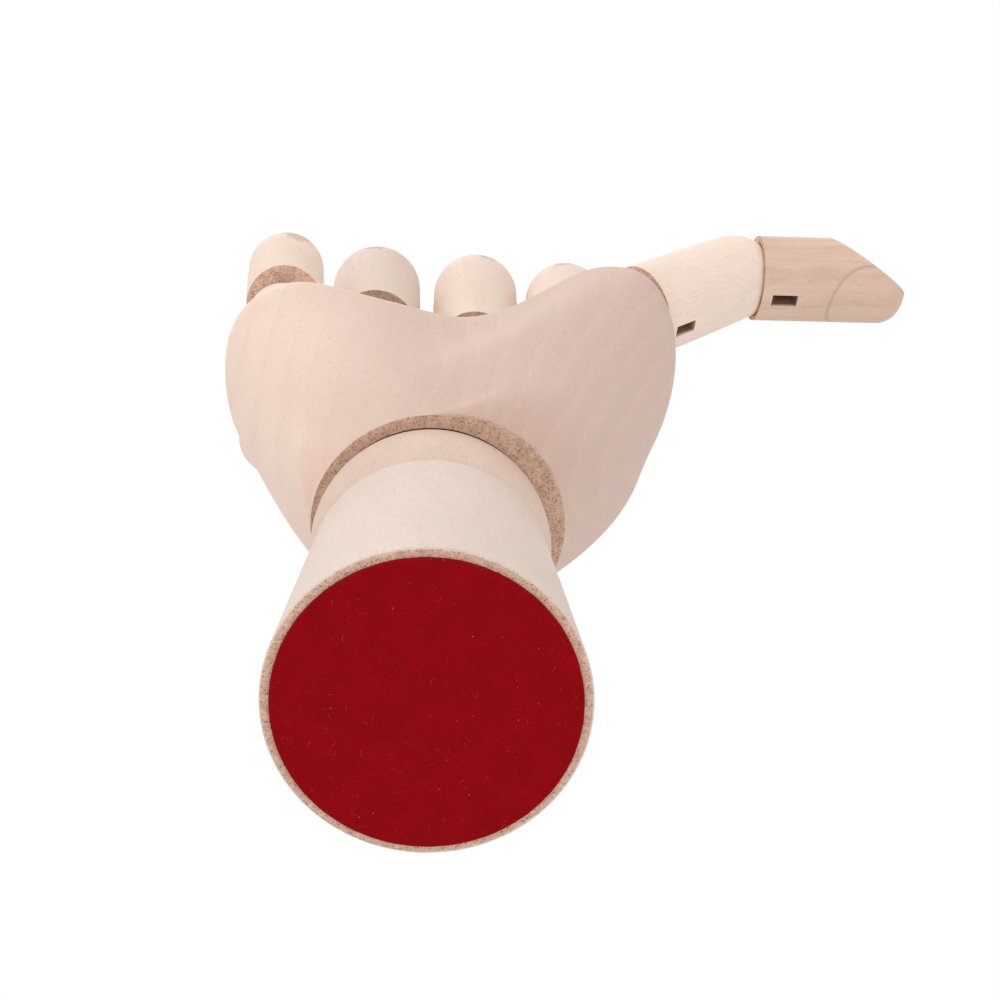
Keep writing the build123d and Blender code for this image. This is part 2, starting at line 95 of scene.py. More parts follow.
class HandWood(bpy.types.PropertyGroup):
    """Colours and grain of the raw wood."""
    base_colour: bpy.props.FloatVectorProperty(
        name="Base", description="Colour of the turned base's side",
        subtype="COLOR", size=3, min=0, max=1, default=(0.745, 0.615, 0.54))
    ball_colour: bpy.props.FloatVectorProperty(
        name="Ball", description="Colour of the wrist ball",
        subtype="COLOR", size=3, min=0, max=1, default=(0.74, 0.56, 0.47))
    # Painted light and shade: the palm's colour is its wood as seen on the lit side, and the thumb side's colour is a
    # darker copy painted as the shade on that side.
    palm_colour: bpy.props.FloatVectorProperty(
        name="Palm", description="Colour of the palm",
        subtype="COLOR", size=3, min=0, max=1, default=(0.90, 0.71, 0.605))
    palm_painted_shade_colour: bpy.props.FloatVectorProperty(
        name="Palm's thumb side", description="Pinker colour that the palm turns into towards the thumb",
        subtype="COLOR", size=3, min=0, max=1, default=(0.67, 0.497, 0.43))
    finger_colour: bpy.props.FloatVectorProperty(
        name="Fingers", description="Colour of the fingers and of the thumb's first segment",
        subtype="COLOR", size=3, min=0, max=1, default=(0.86, 0.70, 0.595))
    thumb_colour: bpy.props.FloatVectorProperty(
        name="Thumb tip", description="Colour of the thumb's tip, which is cut from a browner piece",
        subtype="COLOR", size=3, min=0, max=1, default=(0.74, 0.53, 0.42))
    end_grain_colour: bpy.props.FloatVectorProperty(
        name="End grain", description="Colour where the wood is cut across",
        subtype="COLOR", size=3, min=0, max=1, default=(0.55, 0.37, 0.275))
    # Painted shade: this dark brown stands for the shade inside the thumb's link slots, not for heat from the saw.
    painted_slot_shade_colour: bpy.props.FloatVectorProperty(
        name="Saw slot", description="Colour that the saw's heat leaves in the slots of the thumb",
        subtype="COLOR", size=3, min=0, max=1, default=(0.24, 0.115, 0.075))
    thumb_bend: bpy.props.FloatProperty(
        name="Thumb bend", description="How far the thumb's tip is bent back from its first segment",
        subtype="ANGLE", unit="ROTATION", default=math.radians(-31))
    thumb_root_radius: bpy.props.FloatProperty(
        name="Thumb root", description="Radius of the thumb at its mount",
        unit="LENGTH", subtype="DISTANCE", min=0.001, default=0.0076)
    thumb_end_radius: bpy.props.FloatProperty(
        name="Thumb middle", description="Radius of the thumb at its end joint",
        unit="LENGTH", subtype="DISTANCE", min=0.001, default=0.00695)
    slot_width: bpy.props.FloatProperty(
        name="Slot width", description="Width of the slots that the links lie in",
        unit="LENGTH", subtype="DISTANCE", min=0.0001, default=0.002)
    ring_spacing: bpy.props.FloatProperty(
        name="Ring spacing", description="Distance between growth rings",
        unit="LENGTH", subtype="DISTANCE", min=0.0005, default=0.0042)
    ring_place: bpy.props.FloatVectorProperty(
        name="Tip ring", description="Middle of the dark ring line on the thumb's tip",
        subtype="TRANSLATION", size=3, default=(0.07166, -0.02033, 0.11364))
    ring_radius: bpy.props.FloatProperty(
        name="Tip ring radius", description="How far the ring line on the thumb's tip is from its middle",
        unit="LENGTH", subtype="DISTANCE", min=0, default=0.0069)
    wrist_face_height: bpy.props.FloatProperty(
        name="Wrist face", description="How far above the ball's centre the palm's sawn wrist face lies",
        unit="LENGTH", subtype="DISTANCE", min=0, default=0.00853)
    filler_radius: bpy.props.FloatProperty(
        name="Filler", description="Radius of the wood paste over the end of a thumb pin",
        unit="LENGTH", subtype="DISTANCE", min=0, default=0.0009)
    relief: bpy.props.FloatProperty(
        name="Relief", description="Depth of the fibres and pores",
        unit="LENGTH", subtype="DISTANCE", min=0, default=0.00006)


class HandFelt(bpy.types.PropertyGroup):
    """Colour and nap of the felt."""
    colour: bpy.props.FloatVectorProperty(
        name="Felt", description="Colour of the felt pad",
        subtype="COLOR", size=3, min=0, max=1, default=(0.30, 0.0016, 0.0052))
    lint_colour: bpy.props.FloatVectorProperty(
        name="Lint", description="Colour of the specks of lint on the felt",
        subtype="COLOR", size=3, min=0, max=1, default=(0.62, 0.16, 0.14))
    edge_radius: bpy.props.FloatProperty(
        name="Soft edge", description="How far the felt's cut edge is rounded by wear",
        unit="LENGTH", subtype="DISTANCE", min=0.0001, default=0.00035)
    lint_density: bpy.props.FloatProperty(
        name="Lint density", description="Stray fibres on a square metre of felt", min=0, default=150000)
    lint_length: bpy.props.FloatProperty(
        name="Lint length", description="Length of a stray fibre",
        unit="LENGTH", subtype="DISTANCE", min=0, default=0.0008)
    lint_thickness: bpy.props.FloatProperty(
        name="Lint thickness", description="Radius of a stray fibre",
        unit="LENGTH", subtype="DISTANCE", min=0, default=0.00002)
    nap: bpy.props.FloatProperty(
        name="Nap", description="Depth of the felt's nap",
        unit="LENGTH", subtype="DISTANCE", min=0, default=0.00012)


class HandSteel(bpy.types.PropertyGroup):
    """Colour of the links, pins, rod and spring."""
    colour: bpy.props.FloatVectorProperty(
        name="Steel", description="Colour of the plain steel",
        subtype="COLOR", size=3, min=0, max=1, default=(0.42, 0.41, 0.39))
    spring_wire: bpy.props.FloatProperty(
        name="Spring wire", description="Thickness of the spring's wire",
        unit="LENGTH", subtype="DISTANCE", min=0, default=0.0012)
    spring_coil: bpy.props.FloatProperty(
        name="Coil radius", description="Radius of the spring's coil, to the middle of the wire",
        unit="LENGTH", subtype="DISTANCE", min=0, default=0.0037)
    spring_pitch: bpy.props.FloatProperty(
        name="Pitch", description="Rise of one turn of the spring",
        unit="LENGTH", subtype="DISTANCE", min=0, default=0.0017)
    spring_turns: bpy.props.IntProperty(
        name="Turns", description="Turns of the spring's coil", min=1, default=14)
    spring_bottom: bpy.props.FloatProperty(
        name="Coil bottom", description="Height of the coil's lower end",
        unit="LENGTH", subtype="DISTANCE", min=0, default=0.01245)
    spring_eye: bpy.props.FloatProperty(
        name="Eye radius", description="Radius of the eye at each end, to the middle of the wire",
        unit="LENGTH", subtype="DISTANCE", min=0, default=0.0026)
    worn: bpy.props.FloatProperty(
        name="Worn roughness", description="Roughness where the steel has been rubbed",
        subtype="FACTOR", min=0, max=1, default=0.28)
    dull: bpy.props.FloatProperty(
        name="Dull roughness", description="Roughness of the untouched steel",
        subtype="FACTOR", min=0, max=1, default=0.5)


class HandStage(bpy.types.PropertyGroup):
    """Camera, lamps and floor."""
    camera_place: bpy.props.FloatVectorProperty(
        name="Camera", description="Where the camera stands, below the table's height and in front",
        subtype="TRANSLATION", size=3, default=(0.010938, -0.370571, -0.812899))
    camera_tilt: bpy.props.FloatProperty(
        name="Tilt", description="How far the view leans from straight up towards the hand's back",
        subtype="ANGLE", unit="ROTATION", default=math.radians(22.55))
    lens: bpy.props.FloatProperty(
        name="Lens", description="Focal length on a sensor 36 mm wide", min=1, default=216)
    ambient: bpy.props.FloatProperty(
        name="Ambient", description="Strength of the even light from all round", min=0, default=0.82)
    key_power: bpy.props.FloatProperty(
        name="Key lamp", description="Power of the lamp on the palm's side, in watts", min=0, default=2.2)
    fill_power: bpy.props.FloatProperty(
        name="Fill lamp", description="Power of the lamp from below, in watts", min=0, default=1.3)
    top_power: bpy.props.FloatProperty(
        name="Top lamp", description="Power of the lamp above, in watts", min=0, default=2.6)
    floor_colour: bpy.props.FloatVectorProperty(
        name="Floor", description="Colour of the floor",
        subtype="COLOR", size=3, min=0, max=1, default=(0.86, 0.86, 0.86))


class Value:
    """A shader socket that takes Python's operators and adds the Math nodes for them."""

    def __init__(self, tree, socket):
        self.tree = tree
        self.socket = socket

    def math(self, operation, *others, clamp=False):
        """A Math node with this value first."""
        settings = {"operation": operation, "use_clamp": clamp}
        return add(self.tree, "Math", settings, dict(enumerate((self, *others))))

    def __add__(self, other):
        return self.math("ADD", other)

    def __sub__(self, other):
        return self.math("SUBTRACT", other)

    def __mul__(self, other):
        return self.math("MULTIPLY", other)

    def __truediv__(self, other):
        return self.math("DIVIDE", other)

    def __pow__(self, other):
        return self.math("POWER", other)

    def __rsub__(self, other):
        return (self * -1) + other

    __radd__ = __add__
    __rmul__ = __mul__

    def between(self, low, high):
        """0 below the low value and 1 above the high one, with a smooth rise."""
        settings = {"interpolation_type": "SMOOTHSTEP"}
        return add(self.tree, "MapRange", settings, {"Value": self, "From Min": low, "From Max": high})


def add(tree, kind, settings=None, values=None, out=0):
    """Any shader node by its type. Its settings are set first, then its sockets' values or links."""
    node = tree.nodes.new("ShaderNode" + kind)
    for name, value in (settings or {}).items():
        if name == "stops":
            ramp = node.color_ramp
            while len(ramp.elements) < len(value):
                ramp.elements.new(0.5)
            for stop, (place, colour) in zip(ramp.elements, value):
                stop.position = place
                stop.color = colour
        else:
            setattr(node, name, value)
    for name, value in (values or {}).items():
        if isinstance(value, Value):
            tree.links.new(value.socket, node.inputs[name])
        else:
            node.inputs[name].default_value = value
    return Value(tree, node.outputs[out])


def mix(tree, share, first, second):
    """One colour turning into another."""
    settings = {"data_type": "RGBA"}
    return add(tree, "Mix", settings, {0: share, 6: rgba(first), 7: rgba(second)}, out=2)


def rgba(colour):
    """A colour with full alpha, or a link as it is."""
    return colour if isinstance(colour, Value) else (*colour[:3], 1.0)


def shaded(colour, share):
    """A colour made darker or lighter."""
    return tuple(min(1.0, part * share) for part in colour)


def new_material(name):
    """An empty material, its tree and its shader."""
    material = bpy.data.materials.new(name)
    material.use_nodes = True
    return material, material.node_tree, material.node_tree.nodes["Principled BSDF"]


def finish_shader(tree, shader, colour, roughness, height, depth):
    """Joins a colour, a roughness and a relief to the shader."""
    normal = add(tree, "Bump", None, {"Strength": 1.0, "Distance": depth, "Height": height})
    tree.links.new(rgba(colour).socket, shader.inputs["Base Color"])
    tree.links.new(roughness.socket, shader.inputs["Roughness"])
    tree.links.new(normal.socket, shader.inputs["Normal"])


def millimetres(tree):
    """The place on the piece, in millimetres."""
    spot = add(tree, "TexCoord", None, None, out=3)
    return add(tree, "Mapping", {"vector_type": "TEXTURE"}, {"Vector": spot, "Scale": (0.001, 0.001, 0.001)})


def grain_turn(along):
    """The turn that lays Z along a direction."""
    return Vector((0, 0, 1)).rotation_difference(Vector(along)).to_euler()


def wood(name, colour, along=(0, 0, 1), centre=(0, 0, 0), seed=0, pores=0.5, figure=0.5, ends_below=None, knot=None,
         painted_side_shade=None, ring=None, closeness=1.0, end_tone=1.0, slot=None):
    """Raw sanded wood with growth rings, fibres, pores and speckled end grain.

    The end grain shows on every face cut across, or only below a height in millimetres along the grain. A knot
    is a darker patch round a place, given as that place and its radius in metres. A painted side shade is a second,
    darker colour that the first turns into along X, which paints the shade on one side of the piece, given with the
    two places in metres. A ring is a dark line where one growth ring comes out, given as the place it runs round and
    its radius in metres. Closeness packs the growth rings tighter, and the end tone makes the end grain darker or
    lighter. A slot is painted dark inside as the shade that falls in it, and is given as its middle, the direction
    across it, half its width and the radius of the wood round it.
    """
    props = bpy.context.scene.hand_wood
    rng = random.Random(seed)
    material, tree, shader = new_material(name)
    spot = add(tree, "TexCoord", None, None, out=3)
    settings = {"vector_type": "TEXTURE"}
    turn = grain_turn(along)
    place = {"Vector": spot, "Location": centre, "Rotation": turn, "Scale": (0.001, 0.001, 0.001)}
    local = add(tree, "Mapping", settings, place)
    facing = add(tree, "TexCoord", None, None, out=1)
    cut = add(tree, "Mapping", {"vector_type": "TEXTURE"}, {"Vector": facing, "Rotation": turn})
    across = add(tree, "SeparateXYZ", None, {"Vector": cut}, out=2).math("ABSOLUTE")
    end_grain = across.between(0.78, 0.95)
    if ends_below is not None:
        height_along = add(tree, "SeparateXYZ", None, {"Vector": local}, out=2)
        end_grain = end_grain * (1 - height_along.between(ends_below, ends_below + 0.1))

    drift = (rng.uniform(-40, 40), rng.uniform(-40, 40), rng.uniform(-40, 40))
    slow = add(tree, "Mapping", None, {"Vector": local, "Location": drift, "Scale": (0.05, 0.05, 0.014)})
    warp = add(tree, "TexNoise", None, {"Vector": slow, "Scale": 1.0, "Detail": 3.0, "Roughness": 0.5})
    pith = rng.uniform(0, 2 * math.pi)
    far = rng.uniform(38, 60)
    offset = (far * math.cos(pith), far * math.sin(pith), 0)
    rings_at = add(tree, "Mapping", None, {"Vector": local, "Location": offset, "Scale": (1, 1, 0)})
    distance = add(tree, "VectorMath", {"operation": "LENGTH"}, {0: rings_at}, out=1)
    spacing = props.ring_spacing * 1000 / closeness
    turns = (distance + warp * 9.0) / spacing
    late = turns.math("FRACT") ** 3.0
    soft_late = late * (1 - turns.math("FRACT").between(0.9, 1.0))

    fine = add(tree, "Mapping", None, {"Vector": local, "Location": drift, "Scale": (2.6, 2.6, 0.11)})
    fibre = add(tree, "TexNoise", None, {"Vector": fine, "Scale": 1.0, "Detail": 4.0, "Roughness": 0.65})
    broad = add(tree, "TexNoise", None, {"Vector": local, "Scale": 0.045, "Detail": 2.0})
    coarse = add(tree, "TexNoise", None, {"Vector": local, "Scale": 0.9, "Detail": 3.0, "Roughness": 0.6})

    dashes = add(tree, "Mapping", None, {"Vector": local, "Scale": (2.9, 2.9, 0.8)})
    cells = {"Vector": dashes, "Scale": 1.0, "Randomness": 1.0}
    pore_far = add(tree, "TexVoronoi", {"feature": "F1"}, cells)
    pore_pick = add(tree, "SeparateXYZ", None, {"Vector": add(tree, "TexVoronoi", {"feature": "F1"}, cells, out=1)})
    open_pore = (1 - pore_far.between(0.1, 0.27)) * pore_pick.between(0.62 - 0.5 * pores, 0.68 - 0.5 * pores)

    dots = add(tree, "Mapping", None, {"Vector": local, "Scale": (2.2, 2.2, 1.6)})
    dot_far = add(tree, "TexVoronoi", {"feature": "F1"}, {"Vector": dots, "Scale": 1.0, "Randomness": 1.0})
    dot = 1 - dot_far.between(0.12, 0.34)
    speck = dot * coarse.between(0.32, 0.55)

    pale = shaded(colour, 1.04)
    warm = tuple(part * tone for part, tone in zip(colour, (0.90, 0.82, 0.74)))
    face = mix(tree, broad.between(0.35, 0.7) * (0.35 + 0.4 * figure), pale, shaded(colour, 0.94))
    # Painted shade: the colour turns along X into a darker copy that stands for the shade on that side of the piece.
    if painted_side_shade:
        sideways = add(tree, "SeparateXYZ", None, {"Vector": spot}, out=0) + (warp - 0.5) * 0.016
        face = mix(tree, sideways.between(painted_side_shade[1], painted_side_shade[2]), face, painted_side_shade[0])
    face = mix(tree, soft_late * (0.55 * figure), face, warm)
    face = mix(tree, fibre.between(0.45, 0.72) * (0.2 + 0.25 * figure), face, warm)
    face = mix(tree, open_pore * (0.12 + 0.25 * pores), face, shaded(colour, 0.55))
    end_plain = tuple(props.end_grain_colour)
    end_pale = shaded(end_plain, end_tone)
    if knot:
        spot_far = add(tree, "VectorMath", {"operation": "DISTANCE"}, {0: spot, 1: knot[0]}, out=1)
        ragged = (spot_far / knot[1]) + (coarse - 0.5) * 1.1
        face = mix(tree, (1 - ragged.between(0.55, 1.0)) * 0.6, face, end_plain)

    if ring:
        ring_far = add(tree, "VectorMath", {"operation": "DISTANCE"}, {0: spot, 1: ring[0]}, out=1) / ring[1]
        off_line = (ring_far + (warp - 0.5) * 0.25 - 1.0).math("ABSOLUTE")
        face = mix(tree, (1 - off_line.between(0.015, 0.06)) * 0.55, face, shaded(end_plain, 0.9))

    grit = add(tree, "TexNoise", None, {"Vector": local, "Scale": 2.6, "Detail": 2.0, "Roughness": 0.7})
    ends = mix(tree, coarse.between(0.3, 0.7), shaded(end_pale, 1.14), shaded(end_pale, 0.86))
    ends = mix(tree, grit.between(0.52, 0.68) * 0.55, ends, shaded(end_pale, 1.5))
    ends = mix(tree, (1 - grit.between(0.34, 0.46)) * 0.5, ends, shaded(end_pale, 0.6))
    ends = mix(tree, soft_late * 0.3, ends, shaded(end_pale, 0.75))
    brown = tuple(part * tone for part, tone in zip(end_pale, (0.34, 0.27, 0.22)))
    ends = mix(tree, speck * 0.9, ends, brown)
    skin = mix(tree, end_grain, face, ends)
    # Painted shade: the inside of the slot, near the joint and below the wood's round face, is painted dark as the
    # shade that falls in it.
    if slot:
        middle, across_slot, half_width, radius = slot
        offset = add(tree, "VectorMath", {"operation": "SUBTRACT"}, {0: spot, 1: middle})
        sideways = add(tree, "VectorMath", {"operation": "DOT_PRODUCT"}, {0: offset, 1: across_slot}, out=1)
        flat = add(tree, "Mapping", None, {"Vector": local, "Scale": (1, 1, 0)})
        depth = add(tree, "VectorMath", {"operation": "LENGTH"}, {0: flat}, out=1) / (radius * 1000)
        within = 1 - (sideways.math("ABSOLUTE") / half_width).between(1.02, 1.1)
        height_in = add(tree, "SeparateXYZ", None, {"Vector": local}, out=2) / (radius * 1000)
        inside = within * (1 - depth.between(0.91, 0.96)) * (1 - height_in.between(1.5, 1.6))
        skin = mix(tree, inside * 0.85, skin, tuple(props.painted_slot_shade_colour))

    rough = 0.56 + fibre * 0.16 + end_grain * 0.12
    height = fibre * 0.5 - open_pore * 0.8 - speck * end_grain * 1.2
    finish_shader(tree, shader, skin, rough, height, props.relief)
    shader.inputs["Specular IOR Level"].default_value = 0.3
    return material


def felt(name):
    """Short dense felt with a matted nap and a few specks of lint."""
    props = bpy.context.scene.hand_felt
    material, tree, shader = new_material(name)
    local = millimetres(tree)
    nap = add(tree, "TexNoise", None, {"Vector": local, "Scale": 3.2, "Detail": 6.0, "Roughness": 0.75})
    matted = add(tree, "TexNoise", None, {"Vector": local, "Scale": 0.16, "Detail": 3.0, "Roughness": 0.6})
    fibres = add(tree, "TexVoronoi", {"feature": "DISTANCE_TO_EDGE"}, {"Vector": local, "Scale": 2.2})
    cells = {"Vector": local, "Scale": 0.42, "Randomness": 1.0}
    lint_far = add(tree, "TexVoronoi", {"feature": "F1"}, cells)
    lint_pick = add(tree, "SeparateXYZ", None, {"Vector": add(tree, "TexVoronoi", {"feature": "F1"}, cells, out=1)})
    lint = (1 - lint_far.between(0.03, 0.075)) * lint_pick.between(0.55, 0.6)
    red = tuple(props.colour)
    skin = mix(tree, nap.between(0.3, 0.7), shaded(red, 0.72), shaded(red, 1.25))
    skin = mix(tree, matted.between(0.35, 0.7) * 0.35, skin, shaded(red, 0.62))
    skin = mix(tree, lint * 0.5, skin, tuple(props.lint_colour))
    height = nap * 0.7 + fibres * 0.6 + lint * 0.8
    finish_shader(tree, shader, skin, 0.86 + nap * 0.12, height, props.nap)
    shader.inputs["Sheen Weight"].default_value = 0.03
    shader.inputs["Sheen Roughness"].default_value = 0.5
    shader.inputs["Sheen Tint"].default_value = (1.0, 0.35, 0.35, 1.0)
    shader.inputs["Specular IOR Level"].default_value = 0.06
    return material


def lint(name):
    """Stray fibres on the felt."""
    props = bpy.context.scene.hand_felt
    material, tree, shader = new_material(name)
    local = millimetres(tree)
    tone = add(tree, "TexNoise", None, {"Vector": local, "Scale": 0.6, "Detail": 2.0})
    skin = mix(tree, tone.between(0.42, 0.62), shaded(tuple(props.colour), 1.7), tuple(props.lint_colour))
    finish_shader(tree, shader, skin, 0.85 + tone * 0.1, tone, 0.00001)
    return material


def steel(name, tone=1.0):
    """Plain cut steel, dull with rubbed spots."""
    props = bpy.context.scene.hand_steel
    material, tree, shader = new_material(name)
    local = millimetres(tree)
    wear = add(tree, "TexNoise", None, {"Vector": local, "Scale": 0.8, "Detail": 4.0, "Roughness": 0.6})
    lines = add(tree, "Mapping", None, {"Vector": local, "Scale": (6.0, 6.0, 0.5)})
    drawn = add(tree, "TexNoise", None, {"Vector": lines, "Scale": 1.0, "Detail": 3.0})
    colour = shaded(tuple(props.colour), tone)
    skin = mix(tree, wear.between(0.3, 0.7), shaded(colour, 0.7), shaded(colour, 1.25))
    rough = props.dull - wear * (props.dull - props.worn) + drawn * 0.08
    finish_shader(tree, shader, skin, rough, drawn, 0.00001)
    shader.inputs["Metallic"].default_value = 1.0
    return material


def dress(node, material):
    """Gives a node's object one material."""
    piece = frame["nodes"][node]
    piece.data.materials.clear()
    piece.data.materials.append(material)


def thumb_lines():
    """The joint and the direction of each thumb segment."""
    base = Vector(JOINTS["thumb_base"]["pos_m"])
    end = Vector(JOINTS["thumb_end"]["pos_m"])
    along = (end - base).normalized()
    bend = Matrix.Rotation(bpy.context.scene.hand_wood.thumb_bend, 3, Vector(JOINTS["thumb_end"]["axis"]))
    return (base, along), (end, bend @ along)


class HAND_OT_base(bpy.types.Operator):
    """Finish the turned base and the wrist ball"""
    bl_idname = "hand.base"
    bl_label = "Base and ball"

    def execute(self, context):
        props = context.scene.hand_wood
        dress("turned_base", wood("base_wood", tuple(props.base_colour), seed=3, pores=0.9, figure=0.25,
                                   end_tone=1.25))
        ball = tuple(JOINTS["wrist_tilt"]["pos_m"])
        dress("wrist_ball", wood("ball_wood", tuple(props.ball_colour), centre=ball, seed=8, pores=0.5, figure=0.4))
        dress("tie_bush", wood("bush_wood", tuple(props.ball_colour), centre=ball, seed=9))
        return {"FINISHED"}


def new_piece(name, points, edges, faces, material=None):
    """A new object at the origin with its place in its mesh."""
    mesh = bpy.data.meshes.new(name)
    mesh.from_pydata(points, edges, faces)
    if material:
        mesh.materials.append(material)
    piece = bpy.data.objects.new(name, mesh)
    bpy.context.scene.collection.objects.link(piece)
    return piece


class NodeTree:
    """A geometry tree with named inputs, put on a piece as a modifier and then baked into its mesh."""

    def __init__(self, name, inputs):
        self.tree = bpy.data.node_groups.new(name, "GeometryNodeTree")
        self.inputs = {}
        self.tree.interface.new_socket("Geometry", in_out="INPUT", socket_type="NodeSocketGeometry")
        self.tree.interface.new_socket("Geometry", in_out="OUTPUT", socket_type="NodeSocketGeometry")
        for label, (kind, value) in inputs.items():
            socket = self.tree.interface.new_socket(label, in_out="INPUT", socket_type="NodeSocket" + kind)
            self.inputs[socket.identifier] = value
        self.start = self.tree.nodes.new("NodeGroupInput")
        self.end = self.tree.nodes.new("NodeGroupOutput")

    def given(self, label):
        """The group input of that name."""
        return self.start.outputs[label]

    def add(self, kind, settings=None, values=None, out=0):
        """A node by its type, with its settings set first and then its sockets."""
        node = self.tree.nodes.new(kind)
        for name, value in (settings or {}).items():
            setattr(node, name, value)
        for name, value in (values or {}).items():
            for item in value if isinstance(value, list) else [value]:
                if isinstance(item, bpy.types.NodeSocket):
                    self.tree.links.new(item, node.inputs[name])
                else:
                    node.inputs[name].default_value = item
        return node.outputs[out]

    def bake(self, piece, geometry, material):
        """Ends the tree and turns the piece into a plain mesh of what the tree makes."""
        real = self.add("GeometryNodeRealizeInstances", None, {"Geometry": geometry})
        dressed = self.add("GeometryNodeSetMaterial", None, {"Geometry": real, "Material": material})
        self.tree.links.new(dressed, self.end.inputs["Geometry"])
        modifier = piece.modifiers.new(self.tree.name, "NODES")
        modifier.node_group = self.tree
        for identifier, value in self.inputs.items():
            modifier[identifier] = value
        graph = bpy.context.evaluated_depsgraph_get()
        mesh = bpy.data.meshes.new_from_object(piece.evaluated_get(graph))
        piece.modifiers.clear()
        piece.data = mesh
        if not mesh.polygons:
            raise RuntimeError(f"{piece.name} came out empty")
        return piece


def pin_ends(node, near=None):
    """The middle of each end of a node's pins with its way out, or of the one pin round a joint."""
    net = bmesh.new()
    net.from_mesh(frame["nodes"][node].data)
    bmesh.ops.remove_doubles(net, verts=net.verts, dist=SAME_POINT)
    seen = set()
    ends = []
    for first in net.verts:
        if first in seen:
            continue
        seen.add(first)
        pin = [first]
        for corner in pin:
            for edge in corner.link_edges:
                other = edge.other_vert(corner)
                if other not in seen:
                    seen.add(other)
                    pin.append(other)
        places = [corner.co.copy() for corner in pin]
        middle = sum(places, Vector()) / len(places)
        if near and (middle - near).length > SAME_PIN:
            continue
        far = max(places, key=lambda place: (place - middle).length) - middle
        sides = [[place for place in places if side * (place - middle).dot(far) > 0] for side in (1, -1)]
        first_end, last_end = (sum(side, Vector()) / len(side) for side in sides)
        out = (first_end - last_end).normalized()
        ends += [(first_end, out), (last_end, -out)]
    net.free()
    return ends


def skin_height(heights, k, share):
    """The height of a smooth skin inside a closed rim, at a share of the way out to the rim's point k."""
    half = len(heights) // 2
    middle = max((heights[i] + heights[i + half]) / 2 for i in range(half))
    far = heights[(k + half) % len(heights)]
    even = (heights[k] + far) / 2
    return middle + share * (heights[k] - even) + share ** 2 * (even - middle)


def pin_filler(name, pins, wood_node, near=None):
    """Wood paste in the holes over a node's pins, sanded flush with the wood round them."""
    piece = frame["nodes"][wood_node]
    surface = BVHTree.FromPolygons([corner.co for corner in piece.data.vertices],
                                   [face.vertices for face in piece.data.polygons])
    rim = bpy.context.scene.hand_wood.filler_radius
    turns = [2 * math.pi * k / FILLER_SIDES for k in range(FILLER_SIDES)]
    points = []
    faces = []
    smooth = []
    for end, out in pin_ends(pins, near):
        side = out.orthogonal().normalized()
        up = out.cross(side)
        ways = [side * math.cos(turn) + up * math.sin(turn) for turn in turns]
        heights = [surface.ray_cast(end + way * rim, out, DEEPEST_HOLE)[3] for way in ways]
        if None in heights or min(heights) < 4 * FILLER_FLOOR:
            continue
        if surface.ray_cast(end + out * FILLER_FLOOR, out, min(heights))[0] is not None:
            continue
        start = len(points)
        points.append(end + out * (skin_height(heights, 0, 0) + FILLER_ROWS[0][1]))
        for share, lift in FILLER_ROWS:
            points += [end + way * rim * share + out * (skin_height(heights, k, share) + lift)
                       for k, way in enumerate(ways)]
        points += [end + way * rim * FILLER_ROWS[-1][0] + out * FILLER_FLOOR for way in ways]
        points.append(end + out * FILLER_FLOOR)
        bottom = len(points) - 1
        for k in range(FILLER_SIDES):
            after = (k + 1) % FILLER_SIDES
            faces.append((start, start + 1 + k, start + 1 + after))
            smooth.append(True)
            for row in range(len(FILLER_ROWS)):
                inner = start + 1 + row * FILLER_SIDES
                outer = inner + FILLER_SIDES
                faces.append((inner + k, outer + k, outer + after, inner + after))
                smooth.append(row < FILLER_TOP_ROWS)
            last = start + 1 + len(FILLER_ROWS) * FILLER_SIDES
            faces.append((last + k, bottom, last + after))
            smooth.append(False)
    filler = new_piece(name, points, [], faces, piece.data.materials[0])
    for face, is_smooth in zip(filler.data.polygons, smooth):
        face.use_smooth = is_smooth
    return filler


def felt_disc(name, material):
    """A soft disc with a rounded rim and a slightly uneven face, under the base."""
    low, high = (Vector(corner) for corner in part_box("felt_pad"))
    radius = (high.x - low.x) / 2
    centre = (low + high) / 2
    thick = high.z - low.z
    rng = random.Random(5)
    waves = [(rng.uniform(150, 420), rng.uniform(0, 6.3), rng.uniform(0, 6.3)) for _ in range(FELT_WAVES)]
    soft = bpy.context.scene.hand_felt.edge_radius
    profile = [(radius * share, 0.0) for share in (0.04 * i for i in range(1, 24))]
    for degree in (0, 18, 36, 54, 72, 90):
        angle = math.radians(degree)
        profile.append((radius - soft + soft * math.sin(angle), soft - soft * math.cos(angle)))
    profile.append((radius, thick * 0.6))
    profile.append((radius - FELT_UNEVEN, thick))
    points = [(centre.x, centre.y, low.z + FELT_UNEVEN)]
    for reach, height in profile:
        for k in range(FELT_SIDES):
            turn = 2 * math.pi * k / FELT_SIDES
            x = centre.x + reach * math.cos(turn)
            y = centre.y + reach * math.sin(turn)
            rise = sum(math.sin(a * (x * math.cos(b) + y * math.sin(b)) * 3 + c) for a, b, c in waves) / FELT_WAVES
            lift = FELT_UNEVEN * (1 + rise) if height < thick * 0.9 else 0
            shrink = 1 - 0.0012 * (1 + math.sin(37 * turn) * math.sin(11 * turn + 1)) if height > 0 else 1
            out_x, out_y = (x - centre.x) * shrink, (y - centre.y) * shrink
            points.append((centre.x + out_x, centre.y + out_y, low.z + height + lift))
    top = len(points)
    points.append((centre.x, centre.y, high.z))
    faces = []
    for k in range(FELT_SIDES):
        after = (k + 1) % FELT_SIDES
        faces.append((0, 1 + after, 1 + k))
        for ring in range(len(profile) - 1):
            row = 1 + ring * FELT_SIDES
            faces.append((row + k, row + after, row + FELT_SIDES + after, row + FELT_SIDES + k))
        last = 1 + (len(profile) - 1) * FELT_SIDES
        faces.append((last + k, last + after, top))
    disc = new_piece(name, points, [], faces, material)
    for face in disc.data.polygons:
        face.use_smooth = True
    return disc


